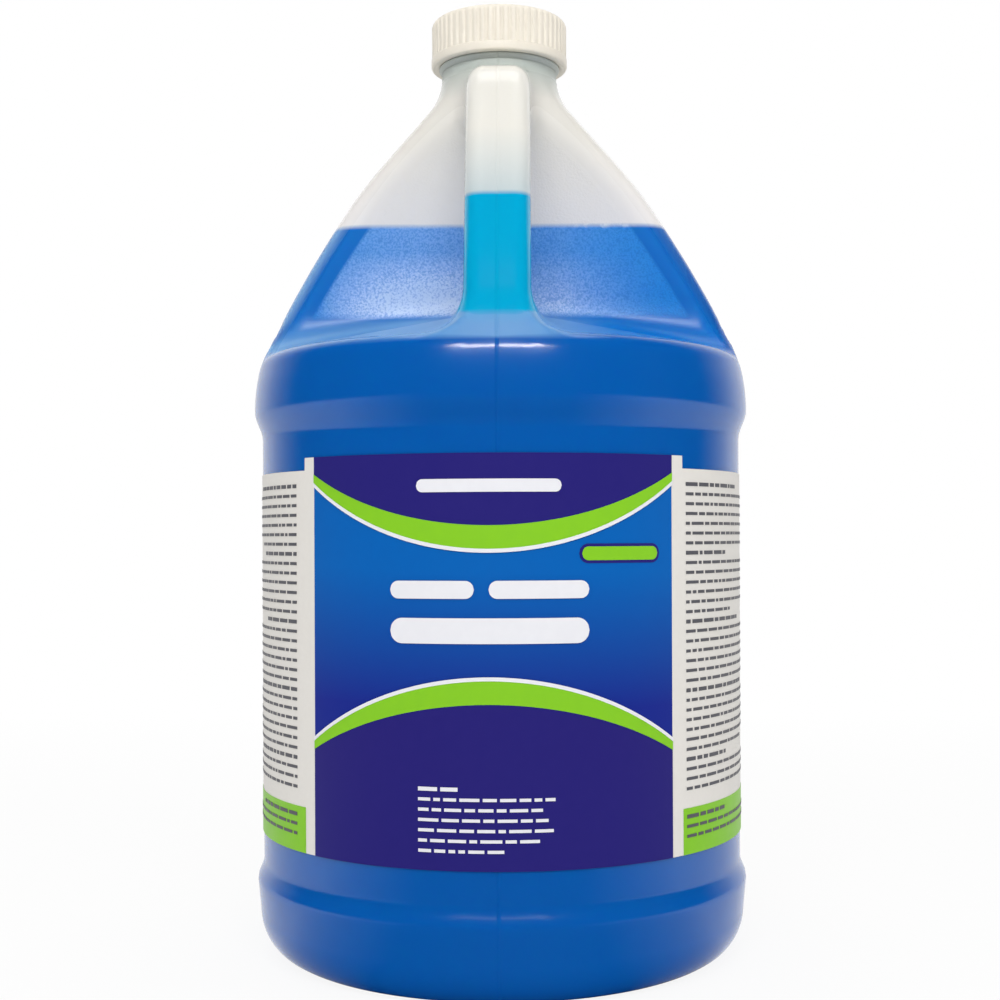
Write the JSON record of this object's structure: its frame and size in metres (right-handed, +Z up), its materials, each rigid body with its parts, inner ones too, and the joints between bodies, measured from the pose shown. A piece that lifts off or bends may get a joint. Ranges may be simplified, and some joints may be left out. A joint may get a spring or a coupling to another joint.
{
  "type": "laundry detergent bottle",
  "caption": "Round gallon jug of liquid detergent with hollow grip handle, flat-walled grip pocket, ribbed screw cap and wraparound label.",
  "frame": {"origin": "centre of the base, on the plane that the bottle stands on", "axes": "+Z up along the body's axis; the handle and the label's front face -Y"},
  "size_m": [0.158, 0.158, 0.2977],
  "materials": {
    "milky_shell": "satin translucent polyethylene",
    "blue_liquid": "clear blue liquid",
    "cap_plastic": "satin ivory polypropylene",
    "liner_foam": "matt foam",
    "label_stock": "semi-gloss film",
    "ink_blue": "semi-gloss ink",
    "ink_indigo": "semi-gloss ink",
    "ink_green": "semi-gloss ink",
    "ink_white": "semi-gloss ink"
  },
  "bodies": {
    "root": {"bottle": "milky_shell", "detergent": "blue_liquid", "label": "label_stock", "print_blue": "ink_blue", "print_indigo": "ink_indigo", "print_green": "ink_green", "print_white": "ink_white"},
    "seal": {"cap_liner": "liner_foam"},
    "cap": {"cap": "cap_plastic"}
  },
  "joints": [
    {"name": "cap_lift", "type": "slide", "parent": "root", "child": "seal", "axis": [0, 0, 1], "range_m": [0, 0.0053]},
    {"name": "cap_turn", "type": "hinge", "parent": "seal", "child": "cap", "pos_m": [0, 0, 0.29], "axis": [0, 0, 1], "range_deg": [0, 450]}
  ],
  "couplings": [
    {"joint": "cap_lift", "follows": "cap_turn", "m_per_rad": 0.0006737}
  ]
}
